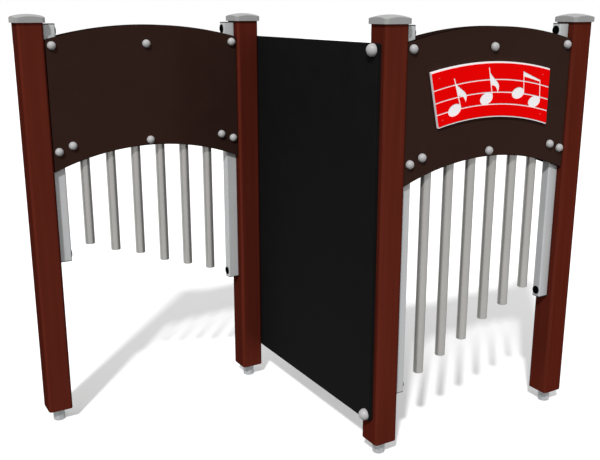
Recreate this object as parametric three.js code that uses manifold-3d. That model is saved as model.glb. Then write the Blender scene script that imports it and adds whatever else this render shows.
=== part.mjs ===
// Playground tubular bells: two bell bays on four posts, one on each side of a partition board.
// Millimetres, +Z up. The origin is on the ground in the middle of the set, and X runs along the bays.
// Each bay is built in a frame of its own: its middle is at x = 0 and its outer face looks towards -Y.
import * as THREE from 'three';
import { mergeVertices } from 'three/addons/utils/BufferGeometryUtils.js';
import Module from 'manifold-3d';

const wasm = await Module();
wasm.setup();

// Clearances and tools
const seatGap = 0.3; // between pieces that rest on each other
const holeGap = 0.4; // round a bolt or pipe in its hole, on the radius
const runningGap = 0.08; // round the hanger rod in a bell tube, on the radius
const overrun = 4; // how far a cutting tool passes the face that it cuts
const weldDistance = 0.001; // corners nearer than this are one corner

// Posts
const postSide = 100;
const postCornerRadius = 12.5;
const postClearance = 56; // from the ground to the post's end grain
const postVisible = 1600; // from the end grain to the cap's lower edge
const bayDistance = 916; // between the centre planes of the two bays

// Post caps
const capOverhang = 8;
const capCornerRadius = 16;
const capSkirt = 25; // in the middle of a side
const capCrown = 7.5; // from there up to the middle of the dome
const capTopWall = 3.7;
const capFit = 0.4;

// Post feet
const pipeRadius = 24.15;
const pipeWall = 3.2;
const pipeBelowBolt = 13; // from the partition's lower bolts down to the pipe's end
const footBottom = 5;
const seatPlateSide = 60;
const seatPlateThickness = 6;

// Bay rails, with their bolts and top plug
const railWidth = 50;
const railDepth = 40;
const railWall = 3;
const railCornerRadius = 6;
const railBelowCap = 3.5;
const railBelowTube = 60; // from the end of the nearest bell tube to the rail's end
const railPlug = 3;
const lugToRail = 55.75; // from the middle of an outer lug to the middle of its rail
const railBoltHeadRadius = 17.5;
const railBoltHeadHeight = 3;
const railBoltRadius = 6;
const railBoltEmbed = 55;
const railBoltTopInset = 27.5;
const railBoltBottomInset = 29;

// Boards of a bay
const boardThickness = 18;
const boardEndGap = 2; // to the posts
const boardMidHeight = 488.5;
const boardBelowCap = 11; // from the cap's lower edge to the top of the arch
const boardTopRadius = 1575;
const boardBottomRadius = 1055;
const swingRoom = 6.3; // from a tube to the pocket that relieves the board's inner face
const pocketMargin = 6; // from a tube's side to the pocket's side
const pocketAboveTube = 22;

// Bolts with a domed head, and a dome nut on the far face
const boltRadius = 5;
const domeRadius = 16.5;
const domeHeight = 18;
const domeRim = 4;
const topBoltInset = 74.7; // below the board's top
const lowBoltInset = 22.3; // above the board's lower edge, in the middle
const outerBoltDrop = 20.5; // the low rail bolts lie under the others

// Bell tubes: a free bar sounds an octave higher when its length is divided by the root of two
const tubeRadius = 20;
const tubeWall = 3;
const tubePitch = 108.4;
const tubesPerBay = 6;
const longestTube = 915;
const tubeTopAboveBoard = 59.5; // above the board's lower edge, in the middle
const pentatonicSteps = [0, 2, 4, 7, 9];
const semitonesPerOctave = 12;

// Hanger frame and rod
const rodRadius = 5;
const rodBelowTubeTop = 13;
const collarRadius = 9;
const collarGap = 0.5; // beside a tube
const lugWidth = 30;
const lugInset = 4; // above the board's lower edge, in the middle
const beamHeight = 25;
const beamAboveTube = 10;
const spineAboveBolt = 20;

// Partition board
const partitionThickness = 18;
const partitionClearance = 156; // above the ground
const partitionBelowCap = 64; // from the cap's lower edge down to the board's top
const partitionOverhang = 24; // past the centre planes of the bays
const partitionCornerRadius = 8;
const partitionBoltInset = 23;
const partitionDomeRadius = 23;
const partitionDomeHeight = 26;
const partitionDomeRim = 4;
const partitionBoltRadius = 6;
const partitionBoltEmbed = 60;

// Sign
const signHalfWidth = 296;
const signShift = 9; // left of the bay's middle
const signLean = 45; // the left end leans inwards
const signApexShift = 13; // the arches peak left of the sign's middle
const signBelowTop = 128.2;
const signMidHeight = 207.5;
const signTopRadius = 1330;
const signBottomRadius = 1050;
const signThickness = 12;
const signTopBorder = 5.3; // along the upper arch
const signBottomBorder = 4; // along the lower arch
const engravingDepth = 1.6;
const staffRadius = 1150;
const staffLineWidth = 5;
const staffLineShares = [0.319, 0.548, 0.764]; // of the height, from the top
const noteHeadLength = 65;
const noteHeadHeight = 44;
const noteHeadTilt = 0.05; // radians
const stemWidth = 5.4;
const flagStemLength = 113;
const beamStemLength = 80;
const beamThickness = 19; // at its left end
const beamTaper = 12; // thinner than that at its right end
const flagReach = 44;
const flagDrop = 106;
const screwRadius = 2.5;
const screwHeadRadius = 4;
const screwHeadHeight = 1.5;
const screwEmbed = 12;
const screwInsetX = 38;
const screwInsetZ = 31;
const noteXShares = [-0.606, -0.091, 0.45, 0.748]; // of the sign's half width
const noteLines = [2, 1.5, 1, 1.5]; // the staff line, counted from the top, or the space between two
const noteTurns = [19, 12, 4, 4]; // degrees to the left

// Facets
const roundSides = 10;
const domeSides = 10;
const tubeSides = 16;
const pipeSides = 16;
const smallSides = 6;
const cornerSteps = 2;
const domeSteps = 3;
const capSides = 16;
const capSteps = 4;
const archSteps = 8;
const signSteps = 6;
const noteSteps = 7;

// Places that follow from the sizes
const capBottom = postClearance + postVisible;
const capHalf = postSide / 2 + capOverhang;
const capSphereRadius = (capHalf ** 2 + capCrown ** 2) / (2 * capCrown);
const capSphereZ = capSkirt + capCrown - capSphereRadius; // above the cap's lower edge
const hoodHalf = postSide / 2 + capFit;
const hoodCornerRadius = postCornerRadius + capFit;
const hoodReach = (hoodHalf - hoodCornerRadius) * Math.SQRT2 + hoodCornerRadius;
const hoodSphereRadius = capSphereRadius - capTopWall;
const hoodHeight = capSphereZ + Math.sqrt(hoodSphereRadius ** 2 - hoodReach ** 2); // at its corners
const capCover = hoodHeight - seatGap; // of the post's end
const lugX = tubePitch * tubesPerBay / 2;
const railX = lugX + lugToRail;
const bayHalf = railX + railWidth / 2 + seatGap;
const postX = bayHalf + postSide / 2;
const bayMiddleX = partitionThickness / 2 + seatGap + postSide / 2 + postX;
const railTop = capBottom - railBelowCap;
const boardHalf = bayHalf - boardEndGap;
const boardInnerY = railDepth / 2 + seatGap;
const boardOuterY = boardInnerY + boardThickness;
const pocketDepth = tubeRadius + swingRoom - boardInnerY;
const boardTop = capBottom - boardBelowCap;
const boardBottom = boardTop - boardMidHeight;
const topBoltZ = boardTop - topBoltInset;
const lowBoltZ = boardBottom + lowBoltInset;
const tubeTop = boardBottom + tubeTopAboveBoard;
const rodZ = tubeTop - rodBelowTubeTop;
const frameHalf = railX - railWidth / 2 - seatGap;
const partitionTop = capBottom - partitionBelowCap;
const partitionHeight = partitionTop - partitionClearance;
const partitionBoltHeights = [
  partitionClearance + partitionBoltInset, partitionTop - partitionBoltInset,
];
const pipeTop = partitionBoltHeights[0] - pipeBelowBolt;
const signTop = boardTop - signBelowTop;
const signLeft = -signShift - signHalfWidth;
const signRight = signHalfWidth - signShift;
const signApexX = -signShift - signApexShift;

const materials = {
  postPaint: { color: 0x52231b, roughness: 0.5, metalness: 0 },
  capPlastic: { color: 0x9a9d9b, roughness: 0.45, metalness: 0 },
  galvanised: { color: 0xa9acad, roughness: 0.45, metalness: 0.8 },
  railMetal: { color: 0xb3b5b5, roughness: 0.4, metalness: 0.7 },
  boardBrown: { color: 0x34251f, roughness: 0.55, metalness: 0 },
  partitionBlack: { color: 0x161718, roughness: 0.7, metalness: 0 },
  bellMetal: { color: 0xb0b0ae, roughness: 0.35, metalness: 0.8 },
  domeGrey: { color: 0xb9b9b7, roughness: 0.35, metalness: 0.3 },
  signRed: { color: 0xe00606, roughness: 0.4, metalness: 0 },
};

// Solids and booleans

function solidOf(geometry) {
  const bare = geometry.clone();
  bare.deleteAttribute('normal');
  bare.deleteAttribute('uv');
  const merged = mergeVertices(bare, weldDistance);
  return new wasm.Manifold(new wasm.Mesh({
    numProp: 3,
    vertProperties: merged.attributes.position.array,
    triVerts: new Uint32Array(merged.index.array),
  }));
}

function geometryOf(solid) {
  const mesh = solid.getMesh();
  const geometry = new THREE.BufferGeometry();
  geometry.setAttribute('position', new THREE.BufferAttribute(mesh.vertProperties, 3));
  geometry.setIndex(new THREE.BufferAttribute(mesh.triVerts, 1));
  geometry.computeVertexNormals();
  return geometry;
}

function cut(geometry, tools) {
  const start = solidOf(geometry);
  return geometryOf(tools.reduce((solid, tool) => solid.subtract(solidOf(tool)), start));
}

function join(pieces) {
  const [first, ...others] = pieces.map(solidOf);
  return geometryOf(others.reduce((solid, other) => solid.add(other), first));
}

function common(pieces) {
  const [first, ...others] = pieces.map(solidOf);
  return geometryOf(others.reduce((solid, other) => solid.intersect(other), first));
}

// Primitive shapes, each placed by its middle unless its comment says otherwise

function block(width, depth, height, x, y, z) {
  return new THREE.BoxGeometry(width, depth, height).translate(x, y, z);
}

function roundAlongX(radius, length, x, y, z) {
  const cylinder = new THREE.CylinderGeometry(radius, radius, length, roundSides);
  return cylinder.rotateZ(-Math.PI / 2).translate(x, y, z);
}

function roundAlongY(radius, length, x, y, z, sides = roundSides) {
  return new THREE.CylinderGeometry(radius, radius, length, sides).translate(x, y, z);
}

function roundAlongZ(radius, length, x, y, z, sides) {
  const cylinder = new THREE.CylinderGeometry(radius, radius, length, sides);
  return cylinder.rotateX(Math.PI / 2).translate(x, y, z);
}

// A faceted hole is drawn a little larger, so that its flats clear the round piece inside it.
function holeRadius(radius, gap, sides = roundSides) {
  return (radius + gap) / Math.cos(Math.PI / sides);
}

function roundedRectangle(width, depth, radius) {
  const shape = new THREE.Shape();
  const halfWidth = width / 2 - radius;
  const halfDepth = depth / 2 - radius;
  shape.absarc(halfWidth, halfDepth, radius, 0, Math.PI / 2);
  shape.absarc(-halfWidth, halfDepth, radius, Math.PI / 2, Math.PI);
  shape.absarc(-halfWidth, -halfDepth, radius, Math.PI, Math.PI * 3 / 2);
  shape.absarc(halfWidth, -halfDepth, radius, Math.PI * 3 / 2, Math.PI * 2);
  shape.closePath();
  return shape;
}

// A column of the given outline from z = bottom to z = top.
function column(shape, bottom, top) {
  const settings = { depth: top - bottom, bevelEnabled: false, curveSegments: cornerSteps };
  return new THREE.ExtrudeGeometry(shape, settings).translate(0, 0, bottom);
}

// An upright sheet: the outline is drawn in X and Z, and the sheet fills y = -front to y = -back.
function sheet(shape, back, front, steps) {
  const settings = { depth: front - back, bevelEnabled: false, curveSegments: steps };
  return new THREE.ExtrudeGeometry(shape, settings).rotateX(Math.PI / 2).translate(0, -back, 0);
}

// The profile of a dome that starts on its axis at y = peak and comes down to its rim, facing +Y.
function domeProfile(radius, height, rim, peak) {
  const points = [];
  for (let i = 0; i < domeSteps; i += 1) {
    const angle = i / domeSteps * Math.PI / 2;
    const drop = (height - rim) * (1 - Math.cos(angle));
    points.push(new THREE.Vector2(radius * Math.sin(angle), peak - drop));
  }
  points.push(new THREE.Vector2(radius, peak - height + rim));
  points.push(new THREE.Vector2(radius, peak - height));
  return points;
}

// Posts, caps and feet

// A square column with rounded corners, from z = bottom up to a sphere round a point on its axis.
function domedColumn(half, cornerRadius, bottom, sphereRadius, sphereZ) {
  const reach = half * 3 / 2;
  const profile = [];
  for (let i = 0; i <= capSteps; i += 1) {
    const radius = reach * i / capSteps;
    profile.push(new THREE.Vector2(radius, sphereZ + Math.sqrt(sphereRadius ** 2 - radius ** 2)));
  }
  profile.push(new THREE.Vector2(reach, bottom - overrun), new THREE.Vector2(0, bottom - overrun));
  const dome = new THREE.LatheGeometry(profile.reverse(), capSides).rotateX(Math.PI / 2);
  const outline = roundedRectangle(2 * half, 2 * half, cornerRadius);
  return common([column(outline, bottom, sphereZ + sphereRadius + overrun), dome]);
}

// The hood inside a cap follows its dome, and rests on the corners of the post's end.
function postCap() {
  const outer = domedColumn(capHalf, capCornerRadius, 0, capSphereRadius, capSphereZ);
  const hood = domedColumn(hoodHalf, hoodCornerRadius, -overrun, hoodSphereRadius, capSphereZ);
  return cut(outer, [hood]).translate(0, 0, capBottom);
}

// railSide is the side of the post, along X, on which the rail stands.
function post(railSide, railBottom, hasPartition) {
  const outline = roundedRectangle(postSide, postSide, postCornerRadius);
  const body = column(outline, postClearance, capBottom + capCover);
  const boreTop = pipeTop + seatGap;
  const boreLength = boreTop - postClearance + overrun;
  const boreRadius = holeRadius(pipeRadius, holeGap, pipeSides);
  const tools = [roundAlongZ(boreRadius, boreLength, 0, 0, boreTop - boreLength / 2, pipeSides)];
  const pilotLength = railBoltEmbed + seatGap + overrun;
  const pilotX = railSide * (postSide / 2 + overrun - pilotLength / 2);
  const pilotRadius = holeRadius(railBoltRadius, holeGap);
  for (const z of [railTop - railBoltTopInset, railBottom + railBoltBottomInset]) {
    tools.push(roundAlongX(pilotRadius, pilotLength, pilotX, 0, z));
  }
  if (hasPartition) {
    const length = partitionBoltEmbed + seatGap + overrun;
    const x = -railSide * (postSide / 2 + overrun - length / 2);
    for (const z of partitionBoltHeights) {
      tools.push(roundAlongX(holeRadius(partitionBoltRadius, holeGap), length, x, 0, z));
    }
  }
  return cut(body, tools);
}

function postFoot() {
  const plateTop = postClearance - seatGap;
  const pipe = roundAlongZ(pipeRadius, pipeTop, 0, 0, pipeTop / 2, pipeSides);
  const seat = block(
    seatPlateSide, seatPlateSide, seatPlateThickness, 0, 0, plateTop - seatPlateThickness / 2,
  );
  const boreLength = pipeTop - footBottom + overrun;
  const bore = roundAlongZ(
    pipeRadius - pipeWall, boreLength, 0, 0, footBottom + boreLength / 2, pipeSides,
  );
  return cut(join([pipe, seat]), [bore]);
}

// Rails

// A rail stands with its outer side to its post. Its two bolts, with flat round caps, are one solid
// with it.
function bayRail(railSide, railBottom) {
  const outer = roundedRectangle(railWidth, railDepth, railCornerRadius);
  const inner = roundedRectangle(
    railWidth - 2 * railWall, railDepth - 2 * railWall, railCornerRadius - railWall,
  );
  const body = column(outer, railBottom, railTop);
  const hollow = column(inner, railBottom - overrun, railTop - railPlug);
  const boltLength = railWidth + seatGap + railBoltEmbed;
  const headX = -railSide * (railWidth / 2 + railBoltHeadHeight / 2);
  const bolts = [];
  for (const z of [railTop - railBoltTopInset, railBottom + railBoltBottomInset]) {
    const shankX = railSide * (boltLength - railWidth) / 2;
    bolts.push(roundAlongX(railBoltHeadRadius, railBoltHeadHeight, headX, 0, z));
    bolts.push(roundAlongX(railBoltRadius, boltLength, shankX, 0, z));
  }
  const panelHoles = [topBoltZ, lowBoltZ - outerBoltDrop].map(
    (z) => roundAlongY(holeRadius(boltRadius, holeGap), railDepth + 2 * overrun, 0, 0, z),
  );
  const shell = cut(body, [hollow, ...panelHoles]);
  return join([shell, ...bolts]).translate(railSide * railX, 0, 0);
}

// Boards

function boardOutline() {
  const shape = new THREE.Shape();
  const bottomAngle = Math.asin(boardHalf / boardBottomRadius);
  const topAngle = Math.asin(boardHalf / boardTopRadius);
  const up = Math.PI / 2;
  shape.absarc(
    0, boardBottom - boardBottomRadius, boardBottomRadius, up + bottomAngle, up - bottomAngle, true,
  );
  shape.absarc(0, boardTop - boardTopRadius, boardTopRadius, up - topAngle, up + topAngle);
  shape.closePath();
  return shape;
}

// Where the bolts pass through a bay's boards, as [x, z].
function panelBoltPlaces() {
  const places = [[0, topBoltZ], [0, lowBoltZ]];
  for (const side of [-1, 1]) {
    places.push([side * railX, topBoltZ]);
    places.push([side * railX, lowBoltZ - outerBoltDrop]);
    places.push([side * lugX, lowBoltZ]);
  }
  return places;
}

// The board on the outer face, with the sign's screw holes if it carries the sign.
function bayBoard(carriesSign) {
  const body = sheet(boardOutline(), boardInnerY, boardOuterY, archSteps);
  const middleY = -(boardInnerY + boardOuterY) / 2;
  const tools = panelBoltPlaces().map(([x, z]) => roundAlongY(
    holeRadius(boltRadius, holeGap), boardThickness + 2 * overrun, x, middleY, z,
  ));
  const pocketInner = tubePitch / 2 - tubeRadius - pocketMargin;
  const pocketOuter = lugX - tubePitch / 2 + tubeRadius + pocketMargin;
  const pocketTop = tubeTop + pocketAboveTube;
  const pocketBottom = boardBottom - boardMidHeight / 2;
  for (const side of [-1, 1]) {
    tools.push(block(
      pocketOuter - pocketInner, pocketDepth + overrun, pocketTop - pocketBottom,
      side * (pocketInner + pocketOuter) / 2,
      -(boardInnerY + (pocketDepth - overrun) / 2),
      (pocketTop + pocketBottom) / 2,
    ));
  }
  if (carriesSign) {
    const length = screwEmbed + seatGap + overrun;
    const y = -(boardOuterY + overrun - length / 2);
    const radius = holeRadius(screwRadius, holeGap, smallSides);
    for (const [x, z] of signScrewPlaces()) {
      tools.push(roundAlongY(radius, length, x, y, z, smallSides));
    }
  }
  return cut(body, tools);
}

// A bolt through both boards with its domed head, and the dome nut that closes it, as one solid.
function panelBolt() {
  const face = boardOuterY + seatGap;
  const head = domeProfile(domeRadius, domeHeight, domeRim, face + domeHeight);
  const nut = head.map((point) => new THREE.Vector2(point.x, -point.y)).reverse();
  const shank = [new THREE.Vector2(boltRadius, face), new THREE.Vector2(boltRadius, -face)];
  return new THREE.LatheGeometry([...head, ...shank, ...nut].reverse(), domeSides);
}

// Hanger frame and rod

function hangerFrame() {
  const beamBottom = tubeTop + beamAboveTube;
  const beamTop = beamBottom + beamHeight;
  const lugBottom = boardBottom + lugInset;
  const lugHeight = beamBottom - lugBottom + beamHeight / 2;
  const pieces = [block(2 * frameHalf, railDepth, beamHeight, 0, 0, (beamBottom + beamTop) / 2)];
  for (const x of [-lugX, 0, lugX]) {
    pieces.push(block(lugWidth, railDepth, lugHeight, x, 0, lugBottom + lugHeight / 2));
  }
  const spineTop = topBoltZ + spineAboveBolt;
  const spineHeight = spineTop - beamBottom - beamHeight / 2;
  pieces.push(block(lugWidth, railDepth, spineHeight, 0, 0, spineTop - spineHeight / 2));
  const tools = [[-lugX, lowBoltZ], [0, lowBoltZ], [lugX, lowBoltZ], [0, topBoltZ]].map(
    ([x, z]) => roundAlongY(holeRadius(boltRadius, holeGap), railDepth + 2 * overrun, x, 0, z),
  );
  tools.push(roundAlongX(holeRadius(rodRadius, seatGap), 2 * frameHalf, 0, 0, rodZ));
  return cut(join(pieces), tools);
}

function tubePlaces() {
  const first = -tubePitch * (tubesPerBay - 1) / 2;
  return Array.from({ length: tubesPerBay }, (_, i) => first + i * tubePitch);
}

// The rod runs between the rails. The collars that keep the tubes apart are one solid with it.
function hangerRod() {
  const stops = [-lugX, 0, lugX].map((x) => ({ x, half: lugWidth / 2 + seatGap }));
  for (const x of tubePlaces()) {
    stops.push({ x, half: tubeRadius + collarGap });
  }
  stops.sort((a, b) => a.x - b.x);
  const points = [new THREE.Vector2(0, -frameHalf), new THREE.Vector2(rodRadius, -frameHalf)];
  for (let i = 0; i + 1 < stops.length; i += 1) {
    const start = stops[i].x + stops[i].half;
    const end = stops[i + 1].x - stops[i + 1].half;
    points.push(new THREE.Vector2(rodRadius, start));
    points.push(new THREE.Vector2(collarRadius, start));
    points.push(new THREE.Vector2(collarRadius, end));
    points.push(new THREE.Vector2(rodRadius, end));
  }
  points.push(new THREE.Vector2(rodRadius, frameHalf), new THREE.Vector2(0, frameHalf));
  return new THREE.LatheGeometry(points, roundSides).rotateZ(-Math.PI / 2).translate(0, 0, rodZ);
}

// Bell tubes

function tubeLength(note) {
  const octave = Math.floor(note / pentatonicSteps.length);
  const step = octave * semitonesPerOctave + pentatonicSteps[note % pentatonicSteps.length];
  return longestTube * Math.SQRT1_2 ** (step / semitonesPerOctave);
}

function bellTube(note) {
  const length = tubeLength(note);
  const body = roundAlongZ(tubeRadius, length, 0, 0, tubeTop - length / 2, tubeSides);
  const bore = roundAlongZ(
    tubeRadius - tubeWall, length + 2 * overrun, 0, 0, tubeTop - length / 2, tubeSides,
  );
  const crossHole = roundAlongX(
    holeRadius(rodRadius, runningGap), 2 * (tubeRadius + overrun), 0, 0, rodZ,
  );
  return cut(body, [bore, crossHole]);
}

// Sign

function signArch(apexZ, radius, fromX, toX) {
  const start = Math.acos((fromX - signApexX) / radius);
  const end = Math.acos((toX - signApexX) / radius);
  return [signApexX, apexZ - radius, radius, start, end, fromX < toX];
}

function signOutline() {
  const shape = new THREE.Shape();
  shape.absarc(...signArch(signTop - signMidHeight, signBottomRadius, signLeft + signLean, signRight));
  shape.absarc(...signArch(signTop, signTopRadius, signRight, signLeft));
  shape.closePath();
  return shape;
}

// The four screws, a little way in from the corners of the sign.
function signScrewPlaces() {
  const places = [];
  for (const side of [-1, 1]) {
    const x = side * (signHalfWidth - screwInsetX) - signShift;
    const rise = (radius) => radius - Math.sqrt(radius ** 2 - (x - signApexX) ** 2);
    const lowX = side < 0 ? x + signLean / 2 : x;
    places.push([x, signTop - rise(signTopRadius) - screwInsetZ]);
    places.push([lowX, signTop - signMidHeight - rise(signBottomRadius) + screwInsetZ]);
  }
  return places;
}

function staffHeight(x, line) {
  const below = Math.floor(line);
  const above = Math.ceil(line);
  const share = (staffLineShares[below] + staffLineShares[above]) / 2;
  const sag = staffRadius - Math.sqrt(staffRadius ** 2 - (x - signApexX) ** 2);
  return signTop - share * signMidHeight - sag;
}

// A band across the sign between two arches that share a centre with the given one.
function archBand(apex, radius, below, above) {
  const left = signLeft - overrun;
  const right = signRight + overrun;
  const shape = new THREE.Shape();
  shape.absarc(...signArch(apex - below, radius - below, left, right));
  shape.absarc(...signArch(apex + above, radius + above, right, left));
  shape.closePath();
  return shape;
}

function staffLine(line) {
  const apex = staffHeight(signApexX, line);
  return archBand(apex, staffRadius, staffLineWidth / 2, staffLineWidth / 2);
}

function signBorders() {
  return [
    archBand(signTop, signTopRadius, signTopBorder, overrun),
    archBand(signTop - signMidHeight, signBottomRadius, overrun, signBottomBorder),
  ];
}

// A note is drawn round the middle of its head, and then turned and moved onto the staff.
function noteHead() {
  const shape = new THREE.Shape();
  const tilt = noteHeadTilt;
  shape.absellipse(0, 0, noteHeadLength / 2, noteHeadHeight / 2, 0, Math.PI * 2, false, tilt);
  return shape;
}

function noteStem(length) {
  const right = noteHeadLength / 2;
  const left = right - stemWidth;
  const corners = [[left, 0], [right, 0], [right, length], [left, length]];
  return new THREE.Shape(corners.map(([x, z]) => new THREE.Vector2(x, z)));
}

// The flag swings out from the top of the stem, hooks back and closes against the stem.
function noteFlag(length) {
  const left = noteHeadLength / 2 - stemWidth;
  const tipX = left + flagReach * 2 / 3;
  const tipZ = length - flagDrop;
  const outerX = left + flagReach * 3 / 2;
  const rootZ = length - flagDrop * 2 / 3;
  const shape = new THREE.Shape();
  shape.moveTo(left, length);
  shape.bezierCurveTo(left + stemWidth, length - flagDrop / 2, outerX, rootZ + stemWidth, tipX, tipZ);
  shape.quadraticCurveTo(tipX, rootZ, left, rootZ);
  shape.closePath();
  return shape;
}

function staffNotes() {
  return noteXShares.map((share, i) => {
    const x = share * signHalfWidth - signShift;
    return { x, z: staffHeight(x, noteLines[i]), turn: THREE.MathUtils.degToRad(noteTurns[i]) };
  });
}

// The top of a note's stem, on the sign, as a point in X and Z.
function stemTop(note, length) {
  const top = new THREE.Vector2(noteHeadLength / 2, length);
  return top.rotateAround(new THREE.Vector2(), note.turn).add(new THREE.Vector2(note.x, note.z));
}

// The beam narrows to the right.
function noteBeam(first, second) {
  const start = stemTop(first, beamStemLength);
  const end = stemTop(second, beamStemLength);
  const endThickness = beamThickness - beamTaper;
  const points = [[start, 0], [start, -beamThickness], [end, -endThickness], [end, 0]].map(
    ([point, drop], i) => {
      const outwards = i < 2 ? -stemWidth : 0;
      return new THREE.Vector2(point.x + outwards, point.y + drop);
    },
  );
  return new THREE.Shape(points);
}

// The cutter for the borders, lines and notes, which are engraved through the red face.
function signEngraving(front) {
  const engrave = (shape) => sheet(shape, front - engravingDepth, front + overrun, noteSteps);
  const onStaff = (shape, note) => engrave(shape).rotateY(-note.turn).translate(note.x, 0, note.z);
  const notes = staffNotes();
  const [first, second, third, fourth] = notes;
  return join([
    ...signBorders().map((shape) => engrave(shape)),
    ...staffLineShares.map((_, line) => engrave(staffLine(line))),
    ...notes.map((note) => onStaff(noteHead(), note)),
    ...[first, second].map((note) => onStaff(noteStem(flagStemLength), note)),
    ...[first, second].map((note) => onStaff(noteFlag(flagStemLength), note)),
    ...[third, fourth].map((note) => onStaff(noteStem(beamStemLength), note)),
    engrave(noteBeam(third, fourth)),
  ]);
}

// A red sheet with a white core, which its cut ends and the engraving bare. Its four screws are
// one solid with it.
function sign() {
  const back = boardOuterY + seatGap;
  const front = back + signThickness;
  const plate = sheet(signOutline(), back, front, signSteps);
  const screws = signScrewPlaces().flatMap(([x, z]) => {
    const shankLength = signThickness + seatGap + screwEmbed;
    const shankY = -(front - shankLength / 2);
    return [
      roundAlongY(screwHeadRadius, screwHeadHeight, x, -(front + screwHeadHeight / 2), z, smallSides),
      roundAlongY(screwRadius, shankLength, x, shankY, z, smallSides),
    ];
  });
  return join([cut(plate, [signEngraving(front)]), ...screws]);
}

// Partition board

function partitionBoard() {
  const length = bayDistance + 2 * partitionOverhang;
  const outline = roundedRectangle(length, partitionHeight, partitionCornerRadius);
  const body = sheet(outline, -partitionThickness / 2, partitionThickness / 2, cornerSteps);
  body.rotateZ(Math.PI / 2).translate(0, 0, partitionClearance + partitionHeight / 2);
  const tools = [];
  for (const z of partitionBoltHeights) {
    for (const side of [-1, 1]) {
      const y = side * bayDistance / 2;
      const radius = holeRadius(partitionBoltRadius, holeGap);
      tools.push(roundAlongX(radius, partitionThickness + 2 * overrun, 0, y, z));
    }
  }
  return cut(body, tools);
}

// A bolt with a large domed head, through the partition and into the inner post.
function partitionBolt(z) {
  const seat = partitionThickness / 2 + seatGap;
  const tip = -(seat + partitionBoltEmbed);
  const profile = domeProfile(
    partitionDomeRadius, partitionDomeHeight, partitionDomeRim, seat + partitionDomeHeight,
  );
  profile.push(new THREE.Vector2(partitionBoltRadius, seat));
  profile.push(new THREE.Vector2(partitionBoltRadius, tip), new THREE.Vector2(0, tip));
  const bolt = new THREE.LatheGeometry(profile.reverse(), domeSides);
  return bolt.rotateZ(Math.PI / 2).translate(-bayMiddleX, 0, z);
}

// Assembly

function mesh(name, geometry, material) {
  const piece = new THREE.Mesh(geometry, new THREE.MeshStandardMaterial(materials[material]));
  piece.name = name;
  return piece;
}

// One bay with its posts. The tubes rise in pitch from the inner post to the outer one.
function bellBay(letter, firstNote) {
  const bay = new THREE.Group();
  const add = (name, geometry, material) => bay.add(mesh(`${name}_${letter}`, geometry, material));
  const lastNote = firstNote + tubesPerBay - 1;
  const ends = [
    { place: 'inner', side: -1, note: firstNote },
    { place: 'outer', side: 1, note: lastNote },
  ];
  for (const { place, side, note } of ends) {
    const x = side * postX;
    const railBottom = tubeTop - tubeLength(note) - railBelowTube;
    add(`post_${place}`, post(-side, railBottom, side < 0).translate(x, 0, 0), 'postPaint');
    add(`post_cap_${place}`, postCap().translate(x, 0, 0), 'capPlastic');
    add(`post_foot_${place}`, postFoot().translate(x, 0, 0), 'galvanised');
    add(`rail_${place}`, bayRail(side, railBottom), 'railMetal');
  }
  add('board_outer', bayBoard(true), 'boardBrown');
  add('board_back', bayBoard(false).rotateZ(Math.PI), 'boardBrown');
  add('sign', sign(), 'signRed');
  add('hanger_frame', hangerFrame(), 'railMetal');
  add('hanger_rod', hangerRod(), 'galvanised');
  tubePlaces().forEach((x, i) => {
    add(`bell_tube_${i + 1}`, bellTube(firstNote + i).translate(x, 0, 0), 'bellMetal');
  });
  panelBoltPlaces().forEach(([x, z], i) => {
    add(`panel_bolt_${i + 1}`, panelBolt().translate(x, 0, z), 'domeGrey');
  });
  partitionBoltHeights.forEach((z, i) => {
    add(`partition_bolt_${i + 1}`, partitionBolt(z), 'domeGrey');
  });
  bay.position.set(bayMiddleX, -bayDistance / 2, 0);
  return bay;
}

const bells = new THREE.Group();
bells.add(bellBay('a', 0));
const farSide = new THREE.Group();
farSide.add(bellBay('b', pentatonicSteps.length));
farSide.rotation.z = Math.PI;
bells.add(farSide);
bells.add(mesh('partition_board', partitionBoard(), 'partitionBlack'));

export default bells;
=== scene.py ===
"""Playground tubular bells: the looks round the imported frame.

Metres, +Z up. Each bay is built in a frame of its own, with its middle at x = 0, its centre plane at
y = 0 and its outer face towards -Y, and is then put in its place.
"""
import math

import bmesh
import bpy
from mathutils import Matrix, Vector


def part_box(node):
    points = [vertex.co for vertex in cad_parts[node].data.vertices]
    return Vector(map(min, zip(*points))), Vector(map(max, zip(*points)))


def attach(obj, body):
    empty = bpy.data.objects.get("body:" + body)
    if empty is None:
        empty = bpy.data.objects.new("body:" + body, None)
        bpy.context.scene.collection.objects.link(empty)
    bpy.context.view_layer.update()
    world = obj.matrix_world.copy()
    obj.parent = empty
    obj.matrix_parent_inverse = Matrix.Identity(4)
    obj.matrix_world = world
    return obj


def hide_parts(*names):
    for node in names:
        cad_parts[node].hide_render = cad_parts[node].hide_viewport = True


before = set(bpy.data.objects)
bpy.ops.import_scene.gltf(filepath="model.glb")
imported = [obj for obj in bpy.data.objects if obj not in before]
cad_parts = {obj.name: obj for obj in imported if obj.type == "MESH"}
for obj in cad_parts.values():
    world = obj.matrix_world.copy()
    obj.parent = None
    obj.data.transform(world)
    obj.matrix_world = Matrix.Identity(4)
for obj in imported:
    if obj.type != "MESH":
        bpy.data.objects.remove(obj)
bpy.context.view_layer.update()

MM = 0.001
TAU = 2 * math.pi
QUARTER = math.pi / 2

# Clearances
SEAT_GAP = 0.3 * MM
OVERRUN = 4 * MM  # how far a cutter passes the face that it cuts
SAME_POINT = 1e-6  # corners nearer than this become one

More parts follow.
